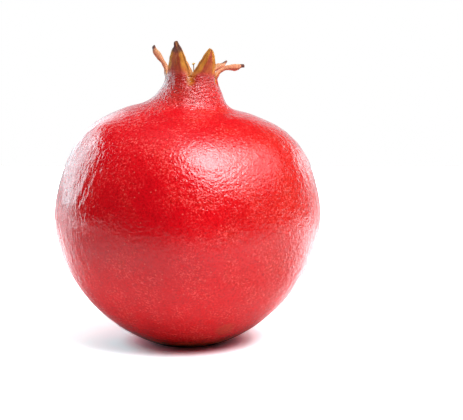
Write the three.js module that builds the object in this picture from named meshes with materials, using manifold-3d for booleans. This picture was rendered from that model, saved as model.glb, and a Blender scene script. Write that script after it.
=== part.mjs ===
// A whole ripe pomegranate, standing on the flat spot round its stem end with its crown up.
//
// Millimetres, +Z up, front towards -Y, right towards +X. The origin is where the fruit's axis meets
// the surface that it rests on. Azimuths are degrees seen from above, 0 at the front, positive to the
// right. Three solids: the fruit with its calyx, the dried stamens in the calyx cup, and the stem stub.

import * as THREE from 'three';
import { mergeVertices } from 'three/addons/utils/BufferGeometryUtils.js';
import Module from 'manifold-3d';

// ---- Rind ----------------------------------------------------------------------------------------

// Half section of the rind from the edge of the foot to the rim of the calyx tube: radius, height.
const OUTLINE = [
  [13.0, 0.0], [19.9, 3.0], [28.2, 8.3], [37.8, 17.4], [45.2, 28.8], [49.2, 41.2],
  [49.8, 52.2], [47.1, 64.4], [42.1, 74.8], [34.9, 82.0], [25.4, 86.6], [17.6, 88.9],
  [13.9, 91.2], [11.7, 94.8], [10.3, 98.0], [9.8, 100.4],
];
const ROWS_PER_SPAN = 2;

// Faint ribs of the grown fruit: how many round it, share of the swelling, phase in radians.
const RIBS = [[6, 0.50, 0.6], [5, 0.30, -1.1], [3, 0.35, 2.0]];
const RIB_SWELL = 0.010;
const SHOULDER_SWELL = 0.012;
const SHOULDER_TILT = 1.4;

// ---- Calyx ---------------------------------------------------------------------------------------

const RIM_HEIGHT = 100.4;
const RIM_FALL_RIGHT = 0.4;
const RIM_FALL_BACK = 1.4;
const TUBE_FOOT_HEIGHT = 82.0;
const TUBE_OFFSET = 1.6;
const CUP_RADIUS = 7.8;
const GROOVE_LENGTH = 5.0;

// Half section of the cup below the rim: radius, depth under the rim.
const CUP = [[7.6, 3.0], [7.3, 6.0], [6.9, 9.0], [5.9, 11.2], [4.0, 11.8]];
const CUP_DEPTH = 11.8;

// Each lobe of the crown: azimuth of its two margins, length, lean from upright (at its root, a pull
// between, and at its tip), sideways drift and twist of the tip, how far it flattens, how its two sides
// taper (below 1 hollow, above 1 full), how thick its margins are and how much of that the tip loses, and
// whether it has dried to a strap.
const LOBES = [
  {
    from: -84, to: 0, length: 13.1, lean: [0, 2, 6], drift: 0.8, twist: 0,
    flatten: 0.35, taper: [0.8, 1.45], margin: 1.0, thinning: 0.4,
  },
  {
    from: 0, to: 78, length: 11.7, lean: [10, 18, 26], drift: -0.2, twist: 0,
    flatten: 0.35, taper: [0.95, 2.2], margin: 1.0, thinning: 0.4,
  },
  {
    from: 78, to: 120, length: 14.0, lean: [20, 86, 90], drift: 0.0, twist: -9,
    flatten: 0.8, taper: [1.5, 1.5], margin: 1.8, thinning: 0.0, strap: true,
  },
  {
    from: 120, to: 168, length: 11.2, lean: [40, 60, 66], drift: -3.8, twist: 0,
    flatten: 0.6, taper: [1.3, 1.3], margin: 1.4, thinning: 0.4, strap: true,
  },
  {
    from: 168, to: 222, length: 9.6, lean: [4, 8, 12], drift: 2.0, twist: 0,
    flatten: 0.4, taper: [0.6, 1.2], margin: 1.2, thinning: 0.4,
  },
  {
    from: 222, to: 276, length: 14.1, lean: [25, 31, 36], drift: 0.0, twist: 10,
    flatten: 0.8, taper: [1.5, 0.5], margin: 1.7, thinning: 0.0, strap: true,
  },
];
const LOBE_COLUMNS = 10;
const LOBE_ROWS = 8;
const LOBE_THICKNESS = 2.0;
const MARGIN_THICKNESS = 1.0;
const MARGIN_START = 0.6;
const TIP_WIDTH = 0.02;
const LOBE_FULLNESS = 0.75;
const STRAP_WAIST = 0.35;
const STRAP_END = 0.45;
const LEAN_STEPS = 24;
const SECTION_TURN = 0.3;

// ---- Underside -----------------------------------------------------------------------------------

// Half section of the dimple, from the inner edge of the flat foot to the socket of the stem stub.
const DIMPLE = [[6.8, 0.0], [5.8, 1.3], [4.6, 2.1], [3.1, 2.5], [3.1, 5.4]];

const STUB_RADIUS = 2.6;
const STUB_BOTTOM = 0.7;
const STUB_TOP = 5.0;

// ---- Stamens -------------------------------------------------------------------------------------

const DISC_RADIUS = 5.0;
const DISC_BOTTOM = RIM_HEIGHT - CUP_DEPTH + 0.7;
const DISC_THICKNESS = 1.2;
const FILAMENTS = 38;
const FILAMENT_RADIUS = 0.38;
const FILAMENT_TOP_LOW = 95.0;
const FILAMENT_TOP_HIGH = 100.2;
const ANTHER_SIZE = [0.75, 0.55, 1.1];
const TALL_STAMEN = { x: 0.9, y: -0.4, top: 104.6 };
const STYLE = { radius: 0.6, top: 98.5 };
const STAMEN_SEED = 20;

// ---- Colours and finishes ------------------------------------------------------------------------

const RIND_MATERIAL = { color: 0xc8202a, roughness: 0.34, metalness: 0 };
const STAMEN_MATERIAL = { color: 0xb88a4a, roughness: 0.8, metalness: 0 };
const STUB_MATERIAL = { color: 0x7a5a3c, roughness: 0.85, metalness: 0 };

const { clamp, degToRad, lerp, smoothstep } = THREE.MathUtils;
const wasm = await Module();
wasm.setup();

// ---- Small helpers -------------------------------------------------------------------------------

function mesh(name, geometry, material) {
  geometry.computeVertexNormals();
  const part = new THREE.Mesh(geometry, new THREE.MeshStandardMaterial(material));
  part.name = name;
  return part;
}

// Collects points and faces of one closed skin.
class Skin {
  points = [];
  faces = [];

  row(points) {
    return points.map((point) => this.points.push(point.x, point.y, point.z) / 3 - 1);
  }

  // Two triangles per step between row a and row b; b lies above a, seen from outside.
  strip(a, b, closed = false) {
    const steps = closed ? a.length : a.length - 1;
    for (let i = 0; i < steps; i += 1) {
      const j = (i + 1) % a.length;
      this.faces.push(a[i], a[j], b[j], a[i], b[j], b[i]);
    }
  }

  // Closes a ring with a fan to one point, under the ring or over it.
  fan(ring, point, over) {
    const [pole] = this.row([point]);
    ring.forEach((corner, i) => {
      const next = ring[(i + 1) % ring.length];
      this.faces.push(pole, over ? corner : next, over ? next : corner);
    });
  }

  geometry() {
    const geometry = new THREE.BufferGeometry();
    geometry.setAttribute('position', new THREE.Float32BufferAttribute(this.points, 3));
    geometry.setIndex(this.faces);
    return geometry;
  }
}

function toManifold(geometry) {
  const bare = geometry.clone();
  bare.deleteAttribute('normal');
  bare.deleteAttribute('uv');
  const merged = mergeVertices(bare, 1e-4);
  const vertProperties = Float32Array.from(merged.attributes.position.array);
  const triVerts = Uint32Array.from(merged.index.array);
  return new wasm.Manifold(new wasm.Mesh({ numProp: 3, vertProperties, triVerts }));
}

function fromManifold(solid) {
  const { vertProperties, triVerts } = solid.getMesh();
  const geometry = new THREE.BufferGeometry();
  geometry.setAttribute('position', new THREE.BufferAttribute(vertProperties, 3));
  geometry.setIndex(new THREE.BufferAttribute(triVerts, 1));
  return geometry;
}

// A repeatable stream of numbers from 0 to 1.
function randomStream(seed) {
  let state = seed;
  return () => {
    state = (state + 0x6d2b79f5) | 0;
    let mixed = Math.imul(state ^ (state >>> 15), 1 | state);
    mixed = (mixed + Math.imul(mixed ^ (mixed >>> 7), 61 | mixed)) ^ mixed;
    return ((mixed ^ (mixed >>> 14)) >>> 0) / 4294967296;
  };
}

function around(centreX, radius, azimuth, height) {
  return new THREE.Vector3(
    centreX + radius * Math.sin(azimuth),
    -radius * Math.cos(azimuth),
    height,
  );
}

// ---- The fruit -----------------------------------------------------------------------------------

// 0 on the body of a lobe and 1 at its margin.
function marginShare(across) {
  return clamp((Math.abs(across) - MARGIN_START) / (1 - MARGIN_START), 0, 1);
}

function rimFall(azimuth) {
  return RIM_FALL_RIGHT * Math.sin(azimuth) + RIM_FALL_BACK * (1 - Math.cos(azimuth)) / 2;
}

function rimHeight(azimuth) {
  return RIM_HEIGHT - rimFall(azimuth);
}

function ribSwell(azimuth, height) {
  const wave = RIBS.reduce((sum, [count, share, phase]) => sum + share * Math.cos(count * azimuth + phase), 0);
  const belowTube = 1 - smoothstep(height, TUBE_FOOT_HEIGHT, 94);
  const all = RIB_SWELL * smoothstep(height, 2, 16);
  const shoulder = SHOULDER_SWELL * smoothstep(height, 60, 80);
  return 1 + (all + shoulder) * belowTube * wave;
}

// A point of the rind at an azimuth and at a share of the way along the outline.
function rindPoint(outline, azimuth, share, margin) {
  const section = outline.getPoint(share);
  const groove = (LOBE_THICKNESS - MARGIN_THICKNESS) * margin
    * smoothstep(section.y, RIM_HEIGHT - GROOVE_LENGTH, RIM_HEIGHT);
  const radius = section.x * ribSwell(azimuth, section.y) - groove;
  const onShoulder = smoothstep(section.y, 64, 84) * (1 - smoothstep(section.y, 89, 97));
  const height = section.y
    - SHOULDER_TILT * onShoulder * Math.sin(azimuth)
    - rimFall(azimuth) * smoothstep(section.y, 93, RIM_HEIGHT);
  const centreX = TUBE_OFFSET * smoothstep(section.y, TUBE_FOOT_HEIGHT, RIM_HEIGHT);
  return around(centreX, radius, azimuth, height);
}

// The columns that run up the fruit, as many under every lobe, so that the notches fall on columns.
function fruitColumns() {
  return LOBES.flatMap((lobe) => Array.from({ length: LOBE_COLUMNS }, (_, k) => ({
    azimuth: degToRad(lerp(lobe.from, lobe.to, k / LOBE_COLUMNS)),
    margin: marginShare(-1 + 2 * k / LOBE_COLUMNS),
  })));
}

function lobeLean(lobe, rise) {
  const [root, pull, tip] = lobe.lean;
  return degToRad(lerp(lerp(root, pull, rise), lerp(pull, tip, rise), rise));
}

// Share of the root's half width that is left on the side of an across value.
function lobeWidth(lobe, rise, across) {
  const taper = across < 0 ? lobe.taper[0] : lobe.taper[1];
  return (1 - (1 - TIP_WIDTH) * rise ** taper) ** LOBE_FULLNESS;
}

// Share of a strap's section that is left: drawn in near its root, full again, small at its tip.
function strapSwell(lobe, rise) {
  if (!lobe.strap) return 1;
  const waist = smoothstep(rise, 0.05, 0.3) * (1 - smoothstep(rise, 0.4, 0.75));
  return 1 - STRAP_WAIST * waist - STRAP_END * smoothstep(rise, 0.8, 1);
}

// The inner and outer points across a lobe at a share of its length.
function lobeSection(lobe, rise) {
  const middle = degToRad((lobe.from + lobe.to) / 2);
  const halfAngle = degToRad((lobe.to - lobe.from) / 2);
  const radial = around(0, 1, middle, 0);
  const sideways = around(0, 1, middle + Math.PI / 2, 0);
  const centre = around(TUBE_OFFSET, CUP_RADIUS, middle, rimHeight(middle));
  const step = lobe.length * rise / LEAN_STEPS;
  for (let i = 0; i < LEAN_STEPS; i += 1) {
    const lean = lobeLean(lobe, rise * (i + 0.5) / LEAN_STEPS);
    centre.addScaledVector(radial, step * Math.sin(lean));
    centre.z += step * Math.cos(lean);
  }
  centre.addScaledVector(sideways, lobe.drift * rise ** 2);
  const turn = lobeLean(lobe, rise) * smoothstep(rise, 0, SECTION_TURN);
  const twist = degToRad(lobe.twist) * smoothstep(rise, 0, SECTION_TURN);
  const face = radial.clone().multiplyScalar(Math.cos(turn)).setZ(-Math.sin(turn));
  const outward = face.clone().multiplyScalar(Math.cos(twist)).addScaledVector(sideways, Math.sin(twist));
  const along = sideways.clone().multiplyScalar(Math.cos(twist)).addScaledVector(face, -Math.sin(twist));
  const margin = lerp(MARGIN_THICKNESS, lobe.margin, smoothstep(rise, 0, SECTION_TURN));
  const curveRadius = CUP_RADIUS / (1 - lobe.flatten * smoothstep(rise, 0, 1));
  const swell = strapSwell(lobe, rise);
  const inner = [];
  const outer = [];
  for (let k = 0; k <= LOBE_COLUMNS; k += 1) {
    const across = -1 + 2 * k / LOBE_COLUMNS;
    const swing = halfAngle * across * lobeWidth(lobe, rise, across) * swell * CUP_RADIUS / curveRadius;
    const point = centre.clone()
      .addScaledVector(along, curveRadius * Math.sin(swing))
      .addScaledVector(outward, -curveRadius * (1 - Math.cos(swing)));
    point.z += (rimHeight(middle + halfAngle * across) - rimHeight(middle)) * (1 - rise);
    const full = lerp(LOBE_THICKNESS, margin, marginShare(across)) * (1 - lobe.thinning * rise ** 2);
    const thickness = full * swell;
    inner.push(point);
    outer.push(point.clone()
      .addScaledVector(outward, thickness * Math.cos(swing))
      .addScaledVector(along, thickness * Math.sin(swing)));
  }
  return { inner, outer };
}

// Grows one lobe from its stretch of the outer and the inner rim.
function addLobe(skin, lobe, outerRoot, innerRoot) {
  let outer = outerRoot;
  let inner = innerRoot;
  for (let i = 1; i <= LOBE_ROWS; i += 1) {
    const section = lobeSection(lobe, i / LOBE_ROWS);
    const nextOuter = skin.row(section.outer);
    const nextInner = skin.row(section.inner);
    skin.strip(outer, nextOuter);
    skin.strip(nextInner, inner);
    skin.strip([inner[0], outer[0]], [nextInner[0], nextOuter[0]]);
    skin.strip([outer.at(-1), inner.at(-1)], [nextOuter.at(-1), nextInner.at(-1)]);
    outer = nextOuter;
    inner = nextInner;
  }
  skin.strip(outer, inner);
}

function fruitGeometry() {
  const skin = new Skin();
  const outline = new THREE.SplineCurve(OUTLINE.map(([radius, height]) => new THREE.Vector2(radius, height)));
  const columns = fruitColumns();
  const ring = (place) => skin.row(columns.map(place));

  // Underside: the dimple with the socket, out to the foot.
  const dimple = DIMPLE.map(([radius, height]) => ring(({ azimuth }) => around(0, radius, azimuth, height)));
  for (let i = 1; i < dimple.length; i += 1) {
    skin.strip(dimple[i], dimple[i - 1], true);
  }
  skin.fan(dimple.at(-1), new THREE.Vector3(0, 0, DIMPLE.at(-1)[1]), false);

  // Rind, from the flat foot to the outer rim.
  const spans = (OUTLINE.length - 1) * ROWS_PER_SPAN;
  let row = dimple[0];
  for (let i = 0; i <= spans; i += 1) {
    const next = ring(({ azimuth, margin }) => rindPoint(outline, azimuth, i / spans, margin));
    skin.strip(row, next, true);
    row = next;
  }
  const outerRim = row;

  // Cup, from the inner rim to its floor.
  const innerRim = ring(({ azimuth }) => around(TUBE_OFFSET, CUP_RADIUS, azimuth, rimHeight(azimuth)));
  row = innerRim;
  for (const [radius, depth] of CUP) {
    const level = (azimuth) => RIM_HEIGHT - depth - rimFall(azimuth) * (1 - depth / CUP_DEPTH);
    const next = ring(({ azimuth }) => around(TUBE_OFFSET, radius, azimuth, level(azimuth)));
    skin.strip(row, next, true);
    row = next;
  }
  skin.fan(row, new THREE.Vector3(TUBE_OFFSET, 0, RIM_HEIGHT - CUP_DEPTH), true);

  LOBES.forEach((lobe, i) => {
    const stretch = (rim) => Array.from(
      { length: LOBE_COLUMNS + 1 },
      (_, k) => rim[(i * LOBE_COLUMNS + k) % rim.length],
    );
    addLobe(skin, lobe, stretch(outerRim), stretch(innerRim));
  });
  return skin.geometry();
}

// ---- The stamens ---------------------------------------------------------------------------------

// A thin square rod through a row of points.
function rod(points, radius) {
  const skin = new Skin();
  const rings = points.map((point) => skin.row([0, 1, 2, 3].map((corner) => {
    const angle = (corner + 0.5) * Math.PI / 2;
    return new THREE.Vector3(point.x + radius * Math.cos(angle), point.y + radius * Math.sin(angle), point.z);
  })));
  for (let i = 1; i < rings.length; i += 1) {
    skin.strip(rings[i - 1], rings[i], true);
  }
  skin.faces.push(rings[0][0], rings[0][2], rings[0][1], rings[0][0], rings[0][3], rings[0][2]);
  const top = rings.at(-1);
  skin.faces.push(top[0], top[1], top[2], top[0], top[2], top[3]);
  return skin.geometry();
}

// One filament with the anther on its end.
function stamen(root, tip, sway) {
  const points = [0, 0.35, 0.7, 1].map((share) => {
    const point = root.clone().lerp(tip, share);
    point.x += sway.x * Math.sin(Math.PI * share);
    point.y += sway.y * Math.sin(Math.PI * share);
    return point;
  });
  const anther = new THREE.OctahedronGeometry(1, 1);
  anther.scale(...ANTHER_SIZE);
  anther.rotateX(0.9 + sway.x);
  anther.rotateZ(4 * sway.y);
  anther.translate(tip.x, tip.y, tip.z);
  return [rod(points, FILAMENT_RADIUS), anther];
}

function stamensGeometry() {
  const random = randomStream(STAMEN_SEED);
  const between = (low, high) => lerp(low, high, random());
  const rootHeight = DISC_BOTTOM + DISC_THICKNESS / 2;

  const disc = new THREE.CylinderGeometry(DISC_RADIUS * 0.94, DISC_RADIUS, DISC_THICKNESS, 24);
  disc.rotateX(Math.PI / 2);
  disc.translate(TUBE_OFFSET, 0, rootHeight);
  const pieces = [disc];

  const turnPerFilament = degToRad(137.5);
  for (let i = 0; i < FILAMENTS; i += 1) {
    const share = Math.sqrt((i + 1) / FILAMENTS);
    const azimuth = i * turnPerFilament;
    const root = around(TUBE_OFFSET, 4.3 * share, azimuth, rootHeight);
    const tipRadius = lerp(4.6, 5.9, random()) * share;
    const top = between(FILAMENT_TOP_LOW, FILAMENT_TOP_HIGH);
    const tip = around(TUBE_OFFSET, tipRadius, azimuth + between(-0.3, 0.3), top);
    pieces.push(...stamen(root, tip, { x: between(-0.4, 0.4), y: between(-0.4, 0.4) }));
  }

  const tallRoot = new THREE.Vector3(TUBE_OFFSET, 0, rootHeight);
  const tallTip = new THREE.Vector3(TUBE_OFFSET + TALL_STAMEN.x, TALL_STAMEN.y, TALL_STAMEN.top);
  pieces.push(...stamen(tallRoot, tallTip, { x: -0.3, y: 0.1 }));

  const styleRoot = new THREE.Vector3(TUBE_OFFSET - 0.8, 0.6, rootHeight);
  pieces.push(rod([styleRoot, styleRoot.clone().setZ(STYLE.top)], STYLE.radius));

  const solid = pieces.map(toManifold).reduce((whole, piece) => whole.add(piece));
  return fromManifold(solid);
}

// ---- The stem stub -------------------------------------------------------------------------------

function stubGeometry() {
  const profile = [
    [0, STUB_BOTTOM + 0.4], [1.0, STUB_BOTTOM + 0.1], [STUB_RADIUS - 0.4, STUB_BOTTOM],
    [STUB_RADIUS, STUB_BOTTOM + 0.5], [STUB_RADIUS - 0.2, 2.4], [STUB_RADIUS, 3.6],
    [STUB_RADIUS, STUB_TOP], [0, STUB_TOP],
  ];
  const lathe = new THREE.LatheGeometry(profile.map(([radius, height]) => new THREE.Vector2(radius, height)), 20);
  lathe.rotateX(Math.PI / 2);
  return fromManifold(toManifold(lathe));
}

// ---- The part ------------------------------------------------------------------------------------

const pomegranate = new THREE.Group();
pomegranate.name = 'pomegranate';
pomegranate.add(
  mesh('fruit', fruitGeometry(), RIND_MATERIAL),
  mesh('stamens', stamensGeometry(), STAMEN_MATERIAL),
  mesh('stem_stub', stubGeometry(), STUB_MATERIAL),
);

export default pomegranate;
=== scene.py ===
"""A whole ripe pomegranate: its glossy rind and open crown, the dried stamens in it and the stem stub.

Metres, +Z up, front towards -Y, right towards +X. Azimuths are seen from above, 0 at the front and positive
to the right. Shape values are in millimetres and degrees, as in the part's own source.
"""

import math

import bpy
import numpy as np
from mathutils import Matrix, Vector


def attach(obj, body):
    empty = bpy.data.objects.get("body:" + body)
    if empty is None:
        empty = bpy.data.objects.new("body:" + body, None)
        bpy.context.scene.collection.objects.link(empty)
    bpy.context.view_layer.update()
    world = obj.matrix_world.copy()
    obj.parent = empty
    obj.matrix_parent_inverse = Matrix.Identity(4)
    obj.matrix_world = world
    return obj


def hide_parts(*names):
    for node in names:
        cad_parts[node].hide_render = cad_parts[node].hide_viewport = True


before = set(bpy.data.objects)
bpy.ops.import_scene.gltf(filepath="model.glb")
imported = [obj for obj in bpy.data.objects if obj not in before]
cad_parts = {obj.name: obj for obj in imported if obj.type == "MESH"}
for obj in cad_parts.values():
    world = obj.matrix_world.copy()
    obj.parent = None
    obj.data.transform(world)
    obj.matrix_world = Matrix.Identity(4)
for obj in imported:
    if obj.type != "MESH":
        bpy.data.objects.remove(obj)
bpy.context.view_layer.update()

bl_info = {
    "name": "Pomegranate",
    "version": (1, 0, 0),
    "blender": (4, 5, 0),
    "location": "3D View > Sidebar > Pomegranate",
    "description": "Builds a whole ripe pomegranate with its crown, stamens and stem stub",
    "category": "Add Mesh",
}

MM = 0.001

# ---- Shape of the pieces, in millimetres and degrees -----------------------------------------------

# Half section of the rind from the edge of the foot to the rim of the calyx tube: radius, height.
OUTLINE = (
    (13.0, 0.0), (19.9, 3.0), (28.2, 8.3), (37.8, 17.4), (45.2, 28.8), (49.2, 41.2),
    (49.8, 52.2), (47.1, 64.4), (42.1, 74.8), (34.9, 82.0), (25.4, 86.6), (17.6, 88.9),
    (13.9, 91.2), (11.7, 94.8), (10.3, 98.0), (9.8, 100.4),
)
# Faint ribs of the grown fruit: how many round it, share of the swelling, phase in radians.
RIBS = ((6, 0.50, 0.6), (5, 0.30, -1.1), (3, 0.35, 2.0))
RIB_SWELL = 0.010
SHOULDER_SWELL = 0.012
SHOULDER_TILT = 1.4

RIM_HEIGHT = OUTLINE[-1][1]
RIM_FALL_RIGHT = 0.4
RIM_FALL_BACK = 1.4
TUBE_FOOT_HEIGHT = 82.0
TUBE_OFFSET = 1.6
GROOVE_LENGTH = 5.0
# Height ranges over which the ribs, the shoulder's swelling and tilt and the rim's fall set in or fade.
RIBS_START = (2, 16)
SHOULDER_START = (60, 80)
RIBS_END = (TUBE_FOOT_HEIGHT, 94)
TILT_START = (64, 84)
TILT_END = (89, 97)
FALL_START = (93, RIM_HEIGHT)
# The mesh's rows lie closer together from the neck's start up and on the lobes, by these factors.
NECK_START = 87.0
NECK_ROWS = 1.8
LOBE_ROWS = 1.4
# Fewest columns of a lobe, and how many samples a section is measured with.
LEAST_COLUMNS = 8
CURVE_SAMPLES = 1500

# Half section of the cup below the rim: radius, depth under the rim.
CUP = ((7.8, 0.0), (7.6, 3.0), (7.3, 6.0), (6.9, 9.0), (5.9, 11.2), (4.0, 11.8), (1.0, 11.8))
CUP_RADIUS = CUP[0][0]
CUP_DEPTH = CUP[-1][1]
# Depth in the cup above which the lobes' margins still show.
MARGIN_DEPTH = 1.0

# Each lobe of the crown: azimuth of its two margins, length, lean from upright (at its root, a pull
# between, and at its tip), sideways drift and twist of the tip, how far it flattens, how its two sides
# taper (below 1 hollow, above 1 full), how thick its margins are, how much of that the tip loses, whether
# it has dried to a strap, where its golden margins start, and where along it the dark tip begins.
LOBES = (
    dict(ends=(-84, 0), length=13.1, lean=(0, 2, 6), drift=0.8, twist=0, flatten=0.35,
         taper=(0.8, 1.45), margin=1.0, thinning=0.4, strap=0, gold=(0.08, 0.42), dark_from=0.72),
    dict(ends=(0, 78), length=11.7, lean=(10, 18, 26), drift=-0.2, twist=0, flatten=0.35,
         taper=(0.95, 2.2), margin=1.0, thinning=0.4, strap=0, gold=(0.40, 0.08), dark_from=1.0),
    dict(ends=(78, 120), length=14.0, lean=(20, 86, 90), drift=0.0, twist=-9, flatten=0.8,
         taper=(1.5, 1.5), margin=1.8, thinning=0.0, strap=1, gold=(0.4, 0.4), dark_from=0.88),
    dict(ends=(120, 168), length=11.2, lean=(40, 60, 66), drift=-3.8, twist=0, flatten=0.6,
         taper=(1.3, 1.3), margin=1.4, thinning=0.4, strap=1, gold=(0.4, 0.4), dark_from=0.86),
    dict(ends=(168, 222), length=9.6, lean=(4, 8, 12), drift=2.0, twist=0, flatten=0.4,
         taper=(0.6, 1.2), margin=1.2, thinning=0.4, strap=0, gold=(0.4, 0.4), dark_from=0.88),
    dict(ends=(222, 276), length=14.1, lean=(25, 31, 36), drift=0.0, twist=10, flatten=0.8,
         taper=(1.5, 0.5), margin=1.7, thinning=0.0, strap=1, gold=(0.4, 0.4), dark_from=0.88),
)
LOBE_THICKNESS = 2.0
MARGIN_THICKNESS = 1.0
LOBE_FULLNESS = 0.75
LEAN_STEPS = 24
# Shares of a lobe's half width: where its thin margin starts, over how much of it the gold comes in, and
# what is left of the width at the tip.
MARGIN_START = 0.52
GOLD_FADE = 0.42
TIP_WIDTH = 0.02
# Shares of a strap's section that are lost at its waist and at its end.
STRAP_WAIST = 0.35
STRAP_END = 0.45
# Shares of a lobe's length: where a strap has turned dry, where its waist starts and stops and its end
# starts, where the section has turned with the lean, and half of the stretch where the tip turns dark.
STRAP_DRY = 0.25
WAIST_START = (0.05, 0.3)
WAIST_END = (0.4, 0.75)
STRAP_END_START = 0.8
SECTION_TURN = 0.3
TIP_FADE = 0.14
# How far a tip's last point stands out, as a share of the gap between the last two rows.
TIP_REACH = 0.3
# The edge between a lobe's two faces: its points, as shares of the way across, and how far it bulges.
EDGE_SHARES = np.array([0.25, 0.5, 0.75])
EDGE_BULGE = 0.22

# Half section of the dimple, from the inner edge of the flat foot to the socket of the stem stub.
DIMPLE = ((6.8, 0.0), (6.3, 0.7), (5.8, 1.3), (4.6, 2.1), (3.5, 2.4), (3.1, 2.7), (3.1, 5.4), (1.0, 5.4))

# Half section of the floral disc: radius, height over its bottom.
DISC = ((0.6, 0.0), (4.5, 0.0), (5.0, 0.4), (4.65, 1.2), (2.5, 0.96), (0.6, 0.9))
DISC_BOTTOM = RIM_HEIGHT - CUP_DEPTH + 0.7
DISC_LUMPS = 0.04
DISC_SPACING = 0.6
DISC_SIDES = 48

# Stamens: where they root on the disc, how far their tips spread, and how far the filaments sway.
ROOT_SPREAD = 4.6
ROOT_HEIGHT = DISC_BOTTOM + 0.8
TIP_SPREAD = (4.2, 6.2)
TALLEST_SPREAD = 1.0
SWAY = 0.9
THREAD_POINTS = 9
THREAD_SIDES = 6
# In radians: the turn from root to root, how far roots and tips stray round the axis and anthers lean,
# and where the tallest stamen stands and how its anther leans.
ROOT_TURN = math.radians(137.5)
ROOT_STRAY = 0.3
TIP_STRAY = 0.45
ANTHER_LEAN = 1.4
TALLEST_AZIMUTH = 1.15
TALLEST_LEAN = 1.2
# An anther's width and depth as shares of its length, how full its ends are, and its range of scales.
ANTHER_WIDTH = 0.60
ANTHER_DEPTH = 0.40
ANTHER_FULLNESS = 0.6
ANTHER_SCALES = (0.75, 1.15)
ANTHER_RINGS = 5
ANTHER_SIDES = 6

# Half section of the stem stub, from the pith of its cut face to its hidden top: radius, height.
STUB_BOTTOM = 0.7
STUB_TOP = 5.0
STUB = (
    (0.3, STUB_BOTTOM + 0.25), (1.3, STUB_BOTTOM + 0.12), (2.1, STUB_BOTTOM + 0.05),
    (2.45, STUB_BOTTOM + 0.1), (2.6, STUB_BOTTOM + 0.5), (2.45, 2.4), (2.6, 3.6), (2.5, STUB_TOP),
    (0.3, STUB_TOP),
)
PITH_DEPTH = 0.3
CUT_END = (STUB_BOTTOM + 0.15, STUB_BOTTOM + 0.4)
BARK_START = (STUB_BOTTOM + 0.2, STUB_BOTTOM + 0.8)
BARK_HEIGHT = 0.10
BARK_SINK = 0.02
STUB_SPACING = 0.16
STUB_SIDES = 72

# ---- Texture of the pieces, in metres --------------------------------------------------------------

# Sizes of the rind's patterns: broad and small patches of colour, grain, streaks, the neck's waves, low
# bands, and the gap between two pores.
BROAD_SIZE = 0.034
PATCH_SIZE = 0.009
GRAIN_SIZE = 0.0008
STREAK_SIZE = 0.0014
WAVE_SIZE = 0.0024
BAND_SIZE = 0.0026
PORE_SPACING = 0.0019
# Middles of the darkest crimson patch and of the small tan patch.
DARK_PATCH_PLACE = (-0.017, -0.044, 0.053)
TAN_PATCH_PLACE = (0.0150, -0.0262, 0.0095)
# How high a value of 1 stands in each material's bump.
RIND_BUMP = 0.00012
STAMEN_BUMP = 0.00008
STUB_BUMP = 0.0002
# Refraction of the waxy skin and of the dry pieces.
WAX_IOR = 1.6
DRY_IOR = 1.45
# Rings of the stalk's wood, in radians a metre.
WOOD_RINGS = 9000.0

# Names of the settings that the two Geometry Nodes trees take as inputs.
RELIEF_SETTINGS = (
    "swell_size", "swell_height", "crease_size", "crease_height", "neck_crease_size", "neck_crease_height",
    "lobe_knob_size", "lobe_knob_height", "crumple_size", "crumple_width",
)
STAMEN_SETTINGS = ("count", "seed", "thread_radius", "lowest", "highest", "tallest")


# ---- Settings that a user would change -------------------------------------------------------------


def size_property(name, description, default_mm, low_mm=0.0, high_mm=200.0):
    return bpy.props.FloatProperty(
        name=name, description=description, default=default_mm * MM,
        min=low_mm * MM, max=high_mm * MM, subtype="DISTANCE", unit="LENGTH", precision=5,
    )


def share_property(name, description, default):
    return bpy.props.FloatProperty(
        name=name, description=description, default=default, min=0.0, max=1.0, subtype="FACTOR",
    )


def colour_property(name, description, default):
    return bpy.props.FloatVectorProperty(
        name=name, description=description, default=default, size=3, min=0.0, max=1.0, subtype="COLOR",
    )


def angle_property(name, description, default_degrees, low_degrees, high_degrees):
    return bpy.props.FloatProperty(
        name=name, description=description, default=math.radians(default_degrees),
        min=math.radians(low_degrees), max=math.radians(high_degrees), subtype="ANGLE",
    )


def light_property(name, description, default):
    return bpy.props.FloatProperty(name=name, description=description, default=default, min=0.0)


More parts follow.
